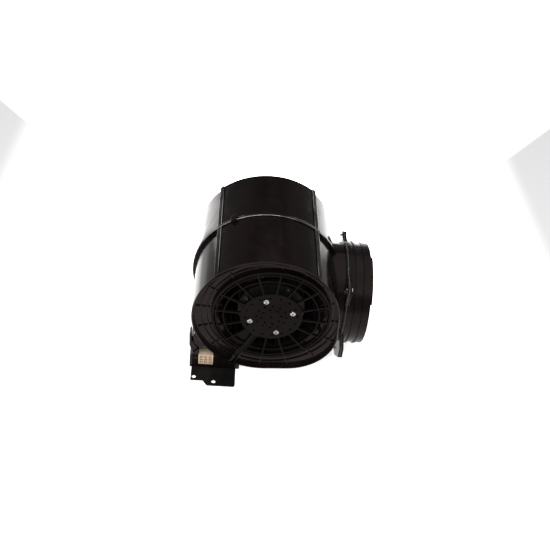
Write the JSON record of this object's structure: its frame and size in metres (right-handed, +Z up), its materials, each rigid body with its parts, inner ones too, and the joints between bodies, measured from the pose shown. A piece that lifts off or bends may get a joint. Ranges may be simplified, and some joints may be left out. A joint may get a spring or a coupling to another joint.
{
  "type": "double-inlet centrifugal blower",
  "caption": "Cooker hood blower: a double-inlet centrifugal fan in a split black scroll, with inner motor, round outlet collar, backdraft flaps and terminal box.",
  "frame": {"origin": "on the resting plane, under the middle of the bounding box", "axes": "+Z up, +X the way the outlet looks, Y along the fan axis with the motor's inlet grille on the -Y side"},
  "size_m": [0.2554, 0.2284, 0.2128],
  "materials": {
    "housing_plastic": "glossy black moulding with fine ejector and flow marks",
    "grille_plastic": "glossy black moulding",
    "collar_plastic": "satin black moulding",
    "foot_plastic": "satin black plate",
    "impeller_plastic": "dull black moulding",
    "flap_plastic": "dull dark grey moulding",
    "connector_ivory": "ivory nylon",
    "contact_tin": "tinned brass",
    "screw_zinc": "bright zinc plate",
    "motor_shield": "pressed and zinc plated",
    "lamination_steel": "stacked laminations",
    "rotor_cast": "die cast",
    "copper_wire": "enamelled copper",
    "bearing_steel": "ground steel",
    "hub_alloy": "turned",
    "bush_rubber": "matt",
    "gasket_foam": "closed-cell foam",
    "lead_sleeve": "soft sleeve",
    "capacitor_case": "white case"
  },
  "bodies": {
    "housing": {"front_scroll_half": "housing_plastic", "rear_scroll_half": "housing_plastic", "seam_clips": "housing_plastic", "front_inlet_grille": "grille_plastic", "rear_inlet_grille": "grille_plastic", "rear_hub_cap": "grille_plastic", "wire_channel_cover": "grille_plastic", "terminal_box": "housing_plastic", "terminal_box_cover": "housing_plastic", "foot_plate": "foot_plastic", "foot_screws": "screw_zinc", "connector_housing": "connector_ivory", "connector_contacts": "contact_tin", "capacitor": "capacitor_case", "capacitor_clip": "motor_shield", "motor_lead": "lead_sleeve", "motor_front_shield": "motor_shield", "motor_rear_shield": "motor_shield", "stator_core": "lamination_steel", "stator_windings": "copper_wire", "motor_mount_screws": "screw_zinc", "rubber_bushes": "bush_rubber", "motor_through_bolts": "screw_zinc", "motor_bolt_nuts": "screw_zinc", "front_bearing": "bearing_steel", "rear_bearing": "bearing_steel", "outlet_gasket": "gasket_foam", "outlet_flange_plate": "collar_plastic", "outlet_flange_screws": "screw_zinc", "outlet_collar": "collar_plastic", "flap_pin": "bearing_steel"},
    "rotor": {"motor_shaft": "bearing_steel", "rotor_core": "lamination_steel", "rotor_end_rings": "rotor_cast", "front_impeller_wheel": "impeller_plastic", "rear_impeller_wheel": "impeller_plastic", "impeller_disc": "impeller_plastic", "impeller_hub": "hub_alloy", "hub_rivets": "hub_alloy", "shaft_washer": "screw_zinc", "shaft_nut": "screw_zinc"},
    "flap_front": {"flap_front": "flap_plastic"},
    "flap_rear": {"flap_rear": "flap_plastic"}
  },
  "joints": [
    {"name": "rotor_spin", "type": "hinge", "parent": "housing", "child": "rotor", "pos_m": [-0.0143, 0.01835, 0.113], "axis": [0, 1, 0], "continuous": true},
    {"name": "flap_front_hinge", "type": "hinge", "parent": "housing", "child": "flap_front", "pos_m": [0.1087, 0.01735, 0.077], "axis": [0, 0, 1], "range_deg": [0, 75]},
    {"name": "flap_rear_hinge", "type": "hinge", "parent": "housing", "child": "flap_rear", "pos_m": [0.1087, 0.01735, 0.077], "axis": [0, 0, -1], "range_deg": [0, 75]}
  ]
}
